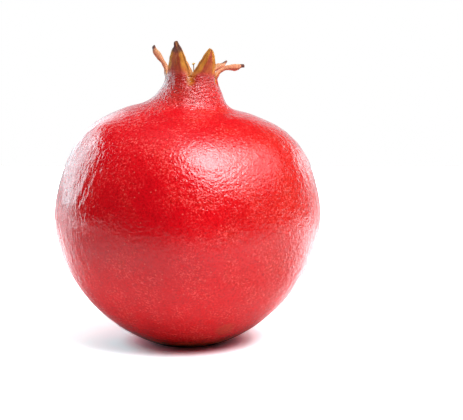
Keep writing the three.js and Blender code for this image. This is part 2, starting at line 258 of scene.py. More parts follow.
class PomegranateRind(bpy.types.PropertyGroup):
    """Rind and calyx lobes."""

    column_angle: angle_property("Column angle", "Angle between two columns of the mesh", 1.2, 0.5, 10)
    row_spacing: size_property("Row spacing", "Distance between two rows of the mesh", 0.75, 0.2, 5)
    swell_size: size_property("Swell size", "Width of the low swells of the skin", 11.0, 1)
    swell_height: size_property("Swell height", "Height of the low swells of the skin", 0.22)
    crease_size: size_property("Crease size", "Width of the leathery creases", 3.4, 0.5)
    crease_height: size_property("Crease height", "Height of the leathery creases", 0.12)
    neck_crease_size: size_property("Neck crease size", "Width of the creases round the neck", 2.4, 0.5)
    neck_crease_height: size_property("Neck crease height", "Height of the creases round the neck", 0.36)
    lobe_knob_size: size_property("Lobe knob size", "Length of the knobs of the dry lobes", 2.6, 0.5)
    lobe_knob_height: size_property("Lobe knob height", "Height of the knobs of the dry lobes", 0.6)
    crumple_size: size_property("Crumple size", "Length of the waves of the dry lobes", 4.0, 0.5)
    crumple_width: size_property("Crumple width", "How far the dry lobes wave", 1.8)
    pebble_size: size_property("Pebble size", "Width of the finest grain of the skin", 0.75, 0.2)
    ripe_red: colour_property("Ripe red", "Main colour of the rind", (0.72, 0.003, 0.008))
    deep_red: colour_property("Deep red", "Darker crimson patches of the rind", (0.61, 0.0005, 0.006))
    # Orange red of the right side, and painted shade: darker than ripe red, to tone down the side that the
    # key light lights most.
    orange_red_painted_shade: colour_property("Warm red", "Orange red of the sunny side", (0.54, 0.029, 0.015))
    dark_grain: colour_property("Dark grain", "Darker grain of the rind", (0.44, 0.0004, 0.003))
    fleck: colour_property("Fleck", "Lighter grain of the rind", (0.95, 0.115, 0.105))
    neck_red: colour_property("Neck red", "Orange red of the neck", (0.44, 0.022, 0.015))
    speckle: colour_property("Speckle", "Pale pores of the rind", (0.90, 0.20, 0.15))
    stem_end: colour_property("Stem end", "Tan skin round the stalk", (0.50, 0.22, 0.07))
    gloss: share_property("Skin roughness", "Roughness of the waxy skin", 0.09)


class PomegranateCalyx(bpy.types.PropertyGroup):
    """Colours of the calyx lobes and the cup."""

    lobe: colour_property("Lobe", "Red brown middle of a lobe", (0.34, 0.048, 0.008))
    margin: colour_property("Margin", "Golden olive margin of a lobe", (0.54, 0.215, 0.014))
    lobe_streak: colour_property("Lobe streak", "Browner streaks of a lobe", (0.42, 0.085, 0.012))
    strap: colour_property("Curled lobe", "Dry red brown of the curled lobes", (0.50, 0.12, 0.045))
    cut_side: colour_property("Edge", "Salmon skin of the curled lobes", (0.64, 0.25, 0.12))
    inside: colour_property("Inside", "Tan inside of the lobes and the cup", (0.52, 0.26, 0.11))
    tip: colour_property("Tip", "Dry dark tip of a lobe", (0.09, 0.022, 0.016))
    roughness: share_property("Roughness", "Roughness of the dry lobes", 0.85)


class PomegranateStamens(bpy.types.PropertyGroup):
    """The dried tuft in the cup."""

    count: bpy.props.IntProperty(name="Stamens", description="How many stamens stand in the cup",
                                 default=120, min=1, max=400)
    seed: bpy.props.IntProperty(name="Seed", description="Seed of the random draws", default=7)
    thread_radius: size_property("Thread radius", "Radius of one filament", 0.2, 0.05, 2)
    lowest: size_property("Lowest anther", "Height of the lowest anthers", 94.5)
    highest: size_property("Highest anther", "Height of the highest anthers", 100.6)
    tallest: size_property("Tallest anther", "Height of the one that stands out of the crown", 105.0)
    anther_length: size_property("Anther length", "Length of one anther", 1.5, 0.2, 5)
    thread: colour_property("Filament", "Colour of the filaments", (0.46, 0.25, 0.10))
    anther: colour_property("Anther", "Colour of the anthers", (0.62, 0.40, 0.13))
    disc: colour_property("Disc", "Colour of the floral disc", (0.36, 0.19, 0.08))


class PomegranateStub(bpy.types.PropertyGroup):
    """The cut end of the stalk."""

    bark: colour_property("Bark", "Grey brown bark", (0.20, 0.12, 0.06))
    pale_bark: colour_property("Pale bark", "Paler streaks of the bark", (0.34, 0.22, 0.12))
    wood: colour_property("Wood", "Pale wood of the cut", (0.52, 0.36, 0.19))


class PomegranateStage(bpy.types.PropertyGroup):
    """Floor, lights and camera."""

    lens: bpy.props.FloatProperty(name="Lens", description="Focal length", default=135.0, min=10, max=400,
                                  unit="CAMERA")
    elevation: angle_property("Elevation", "How far the camera looks down", 9, -90, 90)
    distance: size_property("Distance", "Camera to the fruit's middle", 653.7, 100, 5000)
    key_light: light_property("Key light", "Radiance that the key softboxes take shares of", 9.2)
    side_light: light_property("Side light", "Radiance that the side softboxes take shares of", 5.0)
    backdrop_light: light_property("Backdrop", "Radiance of the lit backdrop", 1.0)
    ceiling_light: light_property("Ceiling", "Radiance of the ceiling", 0.4)
    room_light: light_property("Room", "Radiance of the dim room in front", 0.05)


# ---- Small helpers ---------------------------------------------------------------------------------


def smoothstep(value, low, high):
    share = np.clip((np.asarray(value, float) - low) / (high - low), 0.0, 1.0)
    return share * share * (3 - 2 * share)


def mix(a, b, share):
    return a + (b - a) * share


def around(centre_x, radius, azimuth, height):
    """Points at azimuths round an upright axis, as rows of x, y, z."""
    azimuth = np.asarray(azimuth, float)
    x = centre_x + radius * np.sin(azimuth)
    y = -radius * np.cos(azimuth)
    return np.stack(np.broadcast_arrays(x, y, height), axis=-1).astype(float)


def even_azimuths(count):
    return np.linspace(0, 2 * math.pi, count, endpoint=False)


def section_curve(points, share):
    """A point of the smooth curve through all the points, at a share of the way along it."""
    points = np.array(points, float)
    place = share * (len(points) - 1)
    start = min(int(place), len(points) - 2)
    t = place - start
    before, a, b, after = points[np.clip(np.arange(start - 1, start + 3), 0, len(points) - 1)]
    slope_a = (b - before) / 2
    slope_b = (after - a) / 2
    cubic = 2 * a - 2 * b + slope_a + slope_b
    square = -3 * a + 3 * b - 2 * slope_a - slope_b
    return ((cubic * t + square) * t + slope_a) * t + a


def even_shares(points, spacing, dense_above=math.inf, dense=1.0):
    """Shares along a section curve, evenly apart and denser above a height, both ends included."""
    fine = np.linspace(0, 1, CURVE_SAMPLES)
    line = np.array([section_curve(points, share) for share in fine])
    step = np.linalg.norm(np.diff(line, axis=0), axis=1)
    step = step * np.where(line[1:, 1] > dense_above, dense, 1.0)
    length = np.concatenate([[0], np.cumsum(step)])
    count = max(2, round(length[-1] / spacing))
    return np.interp(np.linspace(0, length[-1], count + 1), length, fine)


class Skin:
    """Collects rows of points, with what each point is, and the faces between the rows."""

    def __init__(self, zones):
        self.zones = zones
        self.points = []
        self.values = {zone: [] for zone in zones}
        self.faces = []
        self.count = 0

    def row(self, points, **values):
        points = np.atleast_2d(points)
        self.points.append(points)
        for zone in self.zones:
            self.values[zone].append(np.broadcast_to(values.get(zone, 0.0), len(points)).astype(float))
        first = self.count
        self.count += len(points)
        return np.arange(first, self.count)

    def join(self, lower, upper):
        """Quads between two closed rows; upper lies above lower, seen from outside."""
        after_lower = np.roll(lower, -1)
        after_upper = np.roll(upper, -1)
        self.faces.extend(np.stack([lower, after_lower, after_upper, upper], axis=1).tolist())

    def stack(self, rings, start=None, downward=False):
        """Joins rings, each given as points and values, to each other; returns the first and the last."""
        first, last = None, start
        for points, values in rings:
            ring = self.row(points, **values)
            if first is None:
                first = ring
            if last is not None and downward:
                self.join(ring, last)
            elif last is not None:
                self.join(last, ring)
            last = ring
        return first, last

    def fan(self, ring, point, over=True, **values):
        """Closes a ring with triangles to one point, over it or under it."""
        pole = int(self.row(point, **values)[0])
        for here, there in zip(ring.tolist(), np.roll(ring, -1).tolist()):
            self.faces.append([pole, here, there] if over else [pole, there, here])

    def make(self, name):
        """The mesh object in metres, shaded smooth, with one attribute per zone."""
        mesh = bpy.data.meshes.new(name)
        mesh.from_pydata((np.concatenate(self.points) * MM).tolist(), [], self.faces)
        for zone in self.zones:
            attribute = mesh.attributes.new(zone, "FLOAT", "POINT")
            attribute.data.foreach_set("value", np.concatenate(self.values[zone]).astype(np.float32))
        mesh.shade_smooth()
        mesh.update()
        return link_object(name, mesh)


def link_object(name, data):
    made = bpy.data.objects.new(name, data)
    bpy.context.scene.collection.objects.link(made)
    return made


def give_to_part(piece, node):
    """The piece rides on the fruit's body and stands for its plain solid."""
    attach(piece, "root")
    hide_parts(node)


class Wire:
    """A node's output, which can be used in sums like a number."""

    def __init__(self, graph, socket):
        self.graph = graph
        self.socket = socket

    def __add__(self, other):
        return self.graph.math("ADD", self, other)

    def __sub__(self, other):
        return self.graph.math("SUBTRACT", self, other)

    def __mul__(self, other):
        return self.graph.math("MULTIPLY", self, other)

    def __rtruediv__(self, other):
        return self.graph.math("DIVIDE", other, self)


class Graph:
    """A short way to write node trees: inputs are given by name, or by number where names repeat."""

    def __init__(self, tree):
        self.tree = tree

    def feed(self, socket, value):
        if isinstance(value, Wire):
            self.tree.links.new(value.socket, socket)
        elif socket.type == "RGBA":
            socket.default_value = (*value, 1.0)
        else:
            socket.default_value = value

    def node(self, kind, inputs=None, **settings):
        made = self.tree.nodes.new(kind)
        for name, value in settings.items():
            setattr(made, name, value)
        for name, value in (inputs or {}).items():
            self.feed(made.inputs[name], value)
        return made

    def out(self, kind, inputs=None, output=0, **settings):
        """A new node's output as a wire."""
        return Wire(self, self.node(kind, inputs, **settings).outputs[output])

    def math(self, operation, *values):
        return self.out("ShaderNodeMath", dict(enumerate(values)), operation=operation)

    def vector(self, operation, *values):
        output = "Value" if operation in ("DISTANCE", "LENGTH") else "Vector"
        return self.out("ShaderNodeVectorMath", dict(enumerate(values)), output, operation=operation)

    def scaled(self, vector, factor):
        return self.out("ShaderNodeVectorMath", {0: vector, "Scale": factor}, operation="SCALE")

    def axes(self, vector):
        """The x, y and z of a vector."""
        return [Wire(self, socket) for socket in self.node("ShaderNodeSeparateXYZ", {0: vector}).outputs]

    def joined(self, x, y, z=0.0):
        """The vector of an x, y and z."""
        return self.out("ShaderNodeCombineXYZ", {0: x, 1: y, 2: z})

    def ramp(self, value, low, high, to_low=0.0, to_high=1.0):
        given = (value, low, high, to_low, to_high)
        return self.out("ShaderNodeMapRange", dict(enumerate(given)), interpolation_type="SMOOTHSTEP")

    def noise(self, place, size, detail=2.0, roughness=0.5, distortion=0.0, stretch=None, kind="FBM"):
        """Noise with a grain of about size metres, from about 0 to 1."""
        if stretch:
            place = self.vector("MULTIPLY", place, stretch)
        inputs = {"Vector": place, "Scale": 1.0 / size, "Detail": detail, "Roughness": roughness,
                  "Distortion": distortion}
        return self.out("ShaderNodeTexNoise", inputs, noise_type=kind)

    def colour(self, share, first, second):
        return self.out("ShaderNodeMix", {0: share, 6: first, 7: second}, 2, data_type="RGBA")

    def paint(self, under, over, value, low, high, most=1.0):
        """One colour over another, by up to most, as a value goes from low to high."""
        return self.colour(self.ramp(value, low, high, 0.0, most), under, over)

    def blend(self, share, first, second):
        return self.out("ShaderNodeMix", {0: share, 2: first, 3: second}, data_type="FLOAT")

    def zone(self, name):
        """One of the values that a skin stores at its points, in a material."""
        return self.out("ShaderNodeAttribute", None, "Fac", attribute_name=name, attribute_type="GEOMETRY")


def new_material(name):
    """An empty node material, the graph to fill it, and the place on the object in metres."""
    material = bpy.data.materials.new(name)
    material.use_nodes = True
    material.node_tree.nodes.clear()
    graph = Graph(material.node_tree)
    return material, graph, graph.out("ShaderNodeTexCoord", None, "Object")


def finish_material(graph, colour, roughness, height, height_scale, ior=DRY_IOR):
    """Principled shader with a colour, a roughness and a height in units of height_scale metres."""
    bump = graph.out("ShaderNodeBump", {"Height": height, "Distance": height_scale, "Strength": 1.0})
    shader = graph.out("ShaderNodeBsdfPrincipled", {
        "Base Color": colour, "Roughness": roughness, "Normal": bump, "IOR": ior,
    })
    graph.node("ShaderNodeOutputMaterial", {"Surface": shader})


def new_tree(name, settings, keys):
    """The graph of an empty Geometry Nodes tree, its inputs as wires, and the values to give them."""
    tree = bpy.data.node_groups.new(name, "GeometryNodeTree")
    tree.interface.new_socket("Geometry", in_out="INPUT", socket_type="NodeSocketGeometry")
    values = {}
    for key in keys:
        value = getattr(settings, key)
        kind = "NodeSocketInt" if isinstance(value, int) else "NodeSocketFloat"
        values[tree.interface.new_socket(key, in_out="INPUT", socket_type=kind).identifier] = value
    tree.interface.new_socket("Geometry", in_out="OUTPUT", socket_type="NodeSocketGeometry")
    graph = Graph(tree)
    given = {socket.name: Wire(graph, socket) for socket in graph.node("NodeGroupInput").outputs}
    return graph, given, values


def end_tree(graph, geometry, material):
    """Realize Instances and Set Material, then the tree's output."""
    real = graph.out("GeometryNodeRealizeInstances", {"Geometry": geometry})
    painted = graph.out("GeometryNodeSetMaterial", {"Geometry": real, "Material": material})
    graph.node("NodeGroupOutput", {0: painted})


def bake_tree(base, tree, values, name):
    """Runs a Geometry Nodes tree on an object and keeps the result as a plain mesh object."""
    modifier = base.modifiers.new(tree.name, "NODES")
    modifier.node_group = tree
    for identifier, value in values.items():
        modifier[identifier] = value
    bpy.context.view_layer.update()
    evaluated = base.evaluated_get(bpy.context.evaluated_depsgraph_get())
    mesh = bpy.data.meshes.new_from_object(evaluated)
    mesh.name = name
    bpy.data.objects.remove(base)
    return link_object(name, mesh)


# ---- The rind and the calyx ------------------------------------------------------------------------


def margin_share(across):
    """0 on the body of a lobe and 1 at its margin."""
    return smoothstep(np.abs(across), MARGIN_START, 1.0)


def gold_share(lobe, across):
    """How golden a lobe is: 0 in its middle and 1 along its margins."""
    start = np.where(across < 0, lobe["gold"][0], lobe["gold"][1])
    return smoothstep(np.abs(across), start, start + GOLD_FADE)


def rim_fall(azimuth):
    return RIM_FALL_RIGHT * np.sin(azimuth) + RIM_FALL_BACK * (1 - np.cos(azimuth)) / 2


def rim_height(azimuth):
    return RIM_HEIGHT - rim_fall(azimuth)


def rib_swell(azimuth, height):
    wave = sum(share * np.cos(count * azimuth + phase) for count, share, phase in RIBS)
    swell = RIB_SWELL * smoothstep(height, *RIBS_START)
    swell = swell + SHOULDER_SWELL * smoothstep(height, *SHOULDER_START)
    return 1 + swell * (1 - smoothstep(height, *RIBS_END)) * wave


def dimple_ring(azimuth, share):
    """One ring of the dimple and its zones, at a share of the way along its section."""
    radius, height = section_curve(DIMPLE, share)
    return around(0, radius, azimuth, height), dict(ground=1.0)


def rind_ring(azimuth, margin, gold, share):
    """One ring of the rind and its zones, at a share of the way along the outline."""
    radius, height = section_curve(OUTLINE, share)
    near_rim = smoothstep(height, RIM_HEIGHT - GROOVE_LENGTH, RIM_HEIGHT)
    groove = (LOBE_THICKNESS - MARGIN_THICKNESS) * margin * near_rim
    on_shoulder = smoothstep(height, *TILT_START) * (1 - smoothstep(height, *TILT_END))
    risen = height - SHOULDER_TILT * on_shoulder * np.sin(azimuth)
    risen = risen - rim_fall(azimuth) * smoothstep(height, *FALL_START)
    centre_x = TUBE_OFFSET * smoothstep(height, TUBE_FOOT_HEIGHT, RIM_HEIGHT)
    points = around(centre_x, radius * rib_swell(azimuth, height) - groove, azimuth, risen)
    return points, dict(margin=margin * near_rim, gold=gold * near_rim)


def cup_ring(azimuth, margin, share):
    """One ring of the cup and its zones, at a share of the way down its section."""
    radius, depth = section_curve(CUP, share)
    level = RIM_HEIGHT - depth - rim_fall(azimuth) * (1 - depth / CUP_DEPTH)
    return around(TUBE_OFFSET, radius, azimuth, level), dict(cup=1.0, margin=margin * (depth < MARGIN_DEPTH))


def lobe_lean(lobe, rise):
    root, pull, tip = lobe["lean"]
    return math.radians(mix(mix(root, pull, rise), mix(pull, tip, rise), rise))


def lobe_width(lobe, rise, across):
    """Share of the root's half width that is left on the side of each across value."""
    taper = np.where(across < 0, lobe["taper"][0], lobe["taper"][1])
    return (1 - (1 - TIP_WIDTH) * rise ** taper) ** LOBE_FULLNESS


def strap_swell(lobe, rise):
    """Share of a strap's section that is left: drawn in near its root, full again, small at its tip."""
    waist = float(smoothstep(rise, *WAIST_START) * (1 - smoothstep(rise, *WAIST_END)))
    end = float(smoothstep(rise, STRAP_END_START, 1))
    return 1 - lobe["strap"] * (STRAP_WAIST * waist + STRAP_END * end)


def lobe_middle(lobe, rise, middle):
    """The middle of a lobe's inner face, found by small steps along its lean."""
    sideways = around(0, 1, middle + math.pi / 2, 0)
    centre = around(TUBE_OFFSET, CUP_RADIUS, middle, rim_height(middle))
    step = lobe["length"] * rise / LEAN_STEPS
    for i in range(LEAN_STEPS):
        lean = lobe_lean(lobe, rise * (i + 0.5) / LEAN_STEPS)
        centre = centre + step * around(0, math.sin(lean), middle, math.cos(lean))
    return centre + sideways * lobe["drift"] * rise ** 2


def lobe_section(lobe, rise, across):
    """The inner and the outer points across a lobe at a share of its length."""
    start, end = (math.radians(angle) for angle in lobe["ends"])
    middle = (start + end) / 2
    half_angle = (end - start) / 2
    radial = around(0, 1, middle, 0)
    sideways = around(0, 1, middle + math.pi / 2, 0)
    upright = np.array([0.0, 0.0, 1.0])
    settled = float(smoothstep(rise, 0, SECTION_TURN))
    turn = lobe_lean(lobe, rise) * settled
    twist = math.radians(lobe["twist"]) * settled
    face = radial * math.cos(turn) - upright * math.sin(turn)
    outward = face * math.cos(twist) + sideways * math.sin(twist)
    along = sideways * math.cos(twist) - face * math.sin(twist)
    curve_radius = CUP_RADIUS / (1 - lobe["flatten"] * float(smoothstep(rise, 0, 1)))
    swell = strap_swell(lobe, rise)
    swing = half_angle * across * lobe_width(lobe, rise, across) * swell * CUP_RADIUS / curve_radius
    bend = np.sin(swing)[:, None]
    straight = np.cos(swing)[:, None]
    arc = along * curve_radius * bend - outward * curve_radius * (1 - straight)
    inner = lobe_middle(lobe, rise, middle) + arc
    inner[:, 2] += (rim_height(middle + half_angle * across) - rim_height(middle)) * (1 - rise)
    margin = mix(MARGIN_THICKNESS, lobe["margin"], settled)
    thickness = mix(LOBE_THICKNESS, margin, margin_share(across)) * swell
    thickness = thickness * (1 - lobe["thinning"] * rise ** 2)
    outer = inner + (outward * straight + along * bend) * thickness[:, None]
    return inner, outer


def edge_rung(outer, inner, bulge):
    """Points across the edge of a lobe between its faces, rounded outward by the bulge."""
    shares = EDGE_SHARES[:, None]
    return mix(outer, inner, shares) + bulge * np.sin(np.pi * shares)


def lobe_edge(inner, outer, end, before):
    """Points round one edge of a lobe; end and before number the last two points of its faces."""
    outward = outer[end] - outer[before]
    return edge_rung(outer[end], inner[end], outward / np.linalg.norm(outward) * EDGE_BULGE)


def add_lobe(skin, lobe, root, across, rows):
    """Grows one lobe from its closed loop of rim points."""
    loop = root
    margin = margin_share(across)
    gold = gold_share(lobe, across)
    for rise in np.arange(1, rows + 1) / rows:
        strap = lobe["strap"] * float(smoothstep(rise, 0, STRAP_DRY))
        tip = float(smoothstep(rise, lobe["dark_from"] - TIP_FADE, lobe["dark_from"] + TIP_FADE))
        zones = dict(rise=rise, strap=strap, tip=tip)
        inner, outer = lobe_section(lobe, rise, across)
        right = lobe_edge(inner, outer, -1, -2)
        left = lobe_edge(inner, outer, 0, 1)
        upper = np.concatenate([
            skin.row(outer, margin=margin, gold=gold, **zones),
            skin.row(right, margin=1.0, gold=1.0, cup=EDGE_SHARES, **zones),
            skin.row(inner[::-1], margin=margin[::-1], gold=gold[::-1], cup=1.0, **zones),
            skin.row(left[::-1], margin=1.0, gold=1.0, cup=EDGE_SHARES[::-1], **zones),
        ])
        skin.join(loop, upper)
        loop = upper
    middle = np.concatenate(skin.points[-4:]).mean(axis=0)
    below = np.concatenate(lobe_section(lobe, 1 - 1 / rows, np.array([-0.5, 0.5]))).mean(axis=0)
    point = middle + (middle - below) * TIP_REACH
    skin.fan(loop, point, rise=1.0, margin=0.5, tip=1.0, cup=0.5, strap=lobe["strap"])


def fruit_columns(column_angle):
    """Azimuth, across value and lobe number of every column, as even as the notches allow."""
    azimuth, across, number = [], [], []
    for i, lobe in enumerate(LOBES):
        start, end = lobe["ends"]
        count = max(LEAST_COLUMNS, round(math.radians(end - start) / column_angle))
        share = np.arange(count) / count
        azimuth.append(np.radians(mix(start, end, share)))
        across.append(-1 + 2 * share)
        number.append(np.full(count, i))
    return np.concatenate(azimuth), np.concatenate(across), np.concatenate(number)


def add_crown(skin, number, outer_rim, inner_rim, spacing):
    """Grows the lobes from the two rims, with a rung between the rims in each notch."""
    firsts = [int(np.argmax(number == i)) for i in range(len(LOBES))]
    points = np.concatenate(skin.points)
    rungs = []
    for first in firsts:
        rung = edge_rung(points[outer_rim[first]], points[inner_rim[first]], 0.0)
        rungs.append(skin.row(rung, margin=1.0, gold=1.0, cup=EDGE_SHARES))
    for i, lobe in enumerate(LOBES):
        count = int((number == i).sum())
        stretch = (np.arange(count + 1) + firsts[i]) % len(number)
        root = np.concatenate([
            outer_rim[stretch], rungs[(i + 1) % len(LOBES)], inner_rim[stretch][::-1], rungs[i][::-1],
        ])
        rows = round(lobe["length"] / spacing * LOBE_ROWS)
        add_lobe(skin, lobe, root, np.linspace(-1, 1, count + 1), rows)


def build_rind(settings):
    """The rind, cup and lobes as one closed skin."""
    spacing = settings.row_spacing / MM
    azimuth, across, number = fruit_columns(settings.column_angle)
    margin = margin_share(across)
    gold = np.concatenate([gold_share(lobe, across[number == i]) for i, lobe in enumerate(LOBES)])
    skin = Skin(("rise", "margin", "gold", "tip", "cup", "ground", "strap"))

    dimple = (dimple_ring(azimuth, share) for share in even_shares(DIMPLE, spacing))
    foot, socket = skin.stack(dimple, downward=True)
    skin.fan(socket, (0, 0, DIMPLE[-1][1]), over=False, ground=1.0)

    shares = even_shares(OUTLINE, spacing, dense_above=NECK_START, dense=NECK_ROWS)
    _, outer_rim = skin.stack((rind_ring(azimuth, margin, gold, share) for share in shares), start=foot)

    cup = (cup_ring(azimuth, margin, share) for share in even_shares(CUP, spacing))
    inner_rim, cup_floor = skin.stack(cup)
    skin.fan(cup_floor, (TUBE_OFFSET, 0, RIM_HEIGHT - CUP_DEPTH), cup=1.0)

    add_crown(skin, number, outer_rim, inner_rim, spacing)
    return skin.make("rind_with_crown")


def relief_tree(settings, material):
    """Geometry Nodes that raise the swells and creases of the skin along its normals."""
    graph, given, values = new_tree("skin_relief", settings, RELIEF_SETTINGS)
    position = graph.out("GeometryNodeInputPosition")
    x, _, z = graph.axes(position)

    def zone(name):
        return graph.out("GeometryNodeInputNamedAttribute", {"Name": name}, "Attribute", data_type="FLOAT")

    def level(low, high, to_low=0.0, to_high=1.0):
        return graph.ramp(z, low * MM, high * MM, to_low, to_high)

    def relief(kind, stretch, shift):
        """Noise about zero, as wide and as high as the settings of that kind say."""
        place = graph.vector("MULTIPLY", position, stretch)
        place = graph.vector("ADD", place, (shift, 0.0, 0.0))
        return (graph.noise(place, given[kind + "_size"]) - 0.5) * given[kind + "_height"]

    rise = zone("rise")
    on_skin = level(1.5, 9) * graph.ramp(rise, 0.3, 0.0) * graph.ramp(zone("cup"), 0.6, 0.0)
    on_body = on_skin * level(95, 86)
    on_neck = on_skin * level(85, 93) * graph.ramp(rise, 1.0, 0.0)
    on_flanks = graph.ramp(graph.math("ABSOLUTE", x), 27 * MM, 38 * MM)
    upright_crease = relief("crease", (1.2, 1.2, 0.5), 5.0) * level(32, 54, 2.2, 5.0)
    crease = graph.blend(on_flanks, relief("crease", (1.0, 1.0, 1.0), 3.0), upright_crease)
    raised = (relief("swell", (1.0, 1.0, 1.0), 0.0) + crease) * on_body
    raised = raised + relief("neck_crease", (1.0, 1.0, 2.4), 7.0) * on_neck
    raised = raised + relief("lobe_knob", (1.5, 1.5, 0.8), 9.0) * graph.ramp(rise, 0.0, 0.2)
    raised = graph.scaled(graph.out("GeometryNodeInputNormal"), raised)

    waves = {"Vector": position, "Scale": 1.0 / given["crumple_size"], "Detail": 1.0}
    wave = graph.vector("SUBTRACT", graph.out("ShaderNodeTexNoise", waves, "Color"), (0.5, 0.5, 0.5))
    wave = graph.scaled(wave, rise * given["crumple_width"])
    moves = {"Geometry": given["Geometry"], "Offset": graph.vector("ADD", raised, wave)}
    end_tree(graph, graph.out("GeometryNodeSetPosition", moves), material)
    return graph.tree, values


def skin_colour(graph, place, patch, rind):
    """Red skin: crimson patches, orange on the neck, orange red painted darker as shade on the right side,
    tan round the stalk.
    """
    x, _, z = graph.axes(place)
    grain = graph.noise(place, GRAIN_SIZE, 2.0, 0.75)
    from_dark_patch = graph.vector("DISTANCE", place, DARK_PATCH_PLACE) + (patch - 0.5) * 0.02
    from_tan_patch = graph.vector("DISTANCE", place, TAN_PATCH_PLACE) + (patch - 0.5) * 0.012
    flecked = graph.ramp(grain, 0.50, 0.72) * graph.ramp(patch, 0.38, 0.62, 0.15, 0.9)
    flecked = flecked * graph.ramp(from_dark_patch, 0.008, 0.024, 0.3, 1.0)
    under = graph.zone("ground") + graph.ramp(z, 0.006, 0.0) * patch

    skin = graph.paint(rind.deep_red, rind.ripe_red, graph.noise(place, BROAD_SIZE), 0.35, 0.65)
    # Painted shade: the right side turns to the darker orange red, so that it is less bright under the key
    # light.
    skin = graph.paint(skin, rind.orange_red_painted_shade, x * 14.0 + patch * 0.5, 0.25, 1.0, 0.8)
    skin = graph.paint(skin, rind.deep_red, from_dark_patch, 0.022, 0.008, 0.8)
    skin = graph.paint(skin, rind.dark_grain, grain, 0.5, 0.3, 0.8)
    skin = graph.colour(flecked, skin, rind.fleck)
    skin = graph.paint(skin, rind.neck_red, z + patch * 0.008, 0.091, 0.104, 0.85)
    skin = graph.colour(pore_share(graph, place), skin, rind.speckle)
    skin = graph.paint(skin, rind.stem_end, from_tan_patch, 0.005, 0.001, 0.2)
    return graph.colour(graph.math("MINIMUM", under, 1.0), skin, rind.stem_end)


def pore_share(graph, place):
    """Small dots in some of the cells that the skin is parted into."""
    cells = graph.node("ShaderNodeTexVoronoi", {"Vector": place, "Scale": 1 / PORE_SPACING})
    dot = graph.ramp(Wire(graph, cells.outputs["Distance"]), 0.22, 0.08)
    draw = graph.out("ShaderNodeSeparateColor", {"Color": Wire(graph, cells.outputs["Color"])})
    return dot * graph.ramp(draw, 0.45, 0.8) * 0.45


def lobe_colour(graph, streak, ragged, calyx):
    """A lobe's outside: streaked brown, golden towards its margins, or tan where it is a dry strap."""
    lobe = graph.paint(calyx.lobe, calyx.lobe_streak, streak, 0.4, 0.6)
    lobe = graph.paint(lobe, calyx.margin, graph.zone("gold") + ragged, 0.1, 0.75)
    lobe = graph.paint(lobe, calyx.margin, streak, 0.5, 0.75, 0.25)
    # The very edge of each margin is darkened halfway to the tip's colour.
    lobe = graph.paint(lobe, calyx.tip, graph.zone("margin"), 0.8, 1.0, 0.5)
    strap = graph.paint(calyx.cut_side, calyx.strap, streak, 0.35, 0.7)
    return graph.colour(graph.zone("strap"), lobe, strap)


def inside_colour(graph, place, streak, calyx):
    """The veined tan of the cup and of the lobes' inner faces."""
    vein = graph.noise(place, GRAIN_SIZE, 3.0, 0.7, stretch=(1.0, 1.0, 0.18))
    inside = graph.paint(calyx.inside, calyx.cut_side, streak, 0.35, 0.65)
    return graph.paint(inside, calyx.strap, vein, 0.5, 0.7, 0.5)


def skin_height(graph, place, on_neck, rind):
    """Fine relief: pebbles, ripples on the flanks that run upright on the left, and waves on the neck."""
    x = graph.axes(place)[0]
    size = rind.pebble_size
    pebble = graph.noise(place, size, 2.0, 0.55) * graph.ramp(x, -0.032, -0.021, 0.4, 1.25)
    leather = graph.noise(place, 2.2 * size, 1.0, 0.5, 0.5, kind="RIDGED_MULTIFRACTAL")
    ripple = graph.noise(place, 2.6 * size, 2.0, 0.5, 0.6)
    upright = graph.noise(place, 2.6 * size, 2.0, 0.5, 0.6, stretch=(1.0, 1.0, 0.25))
    ripple = graph.blend(graph.ramp(x, -0.022, -0.034), ripple, upright)
    rippled = graph.ramp(x, -0.036, -0.022, 2.6, 1.8) + graph.ramp(x, 0.026, 0.040, 0.0, 1.2)
    wave = graph.noise(place, WAVE_SIZE, 2.0, 0.6, 0.8, stretch=(1.0, 1.0, 3.0))
    upright_wave = graph.noise(place, WAVE_SIZE, 2.0, 0.6, 0.8, stretch=(2.2, 2.2, 0.5))
    wave = graph.blend(graph.ramp(x, -0.003, -0.011), wave, upright_wave)
    waved = on_neck * graph.ramp(x, -0.003, -0.011, 6.0, 5.5)
    band = graph.noise(place, BAND_SIZE, 2.0, 0.5, 0.6, stretch=(1.0, 1.0, 1.8))
    return pebble + ripple * rippled + leather * -0.18 + wave * waved + band * 1.2


def rind_material(rind, calyx):
    """Waxy red skin that turns golden and brown on the lobes and tan inside the cup."""
    material, graph, place = new_material("rind_and_calyx")
    rise = graph.zone("rise")
    margin = graph.zone("margin")
    cup = graph.zone("cup")
    patch = graph.noise(place, PATCH_SIZE, 3.0)
    streak = graph.noise(place, STREAK_SIZE, 3.0, 0.6, stretch=(1.0, 1.0, 0.25))
    ragged = (streak - 0.5) * 0.8

    golden = graph.ramp(margin + ragged * 0.8, 0.1, 1.0, 0.0, 0.7) * graph.ramp(margin, 0.05, 0.6)
    skin = graph.colour(golden, skin_colour(graph, place, patch, rind), calyx.margin)
    lobe = lobe_colour(graph, streak, ragged, calyx)
    edge = graph.colour(graph.zone("strap"), calyx.margin, calyx.cut_side)
    inside = inside_colour(graph, place, streak, calyx)
    colour = graph.paint(skin, lobe, rise + (patch - 0.5) * 0.35, 0.0, 0.40)
    colour = graph.paint(colour, edge, cup, 0.02, 0.3)
    colour = graph.paint(colour, inside, cup, 0.7, 0.98)
    colour = graph.paint(colour, calyx.tip, graph.zone("tip") + ragged * 2.0, 0.2, 1.0, 0.94)

    dry = graph.math("MAXIMUM", graph.ramp(rise, 0.0, 0.25), graph.ramp(cup, 0.0, 0.4))
    on_neck = graph.ramp(graph.axes(place)[2], 0.086, 0.092)
    waxy = graph.blend(graph.ramp(patch, 0.3, 0.7), rind.gloss - 0.03, rind.gloss + 0.04) + on_neck * 0.13
    roughness = graph.blend(dry, waxy, calyx.roughness)
    height = graph.blend(dry, skin_height(graph, place, on_neck, rind), streak * 3.0)
    finish_material(graph, colour, roughness, height, RIND_BUMP, WAX_IOR)
    return material


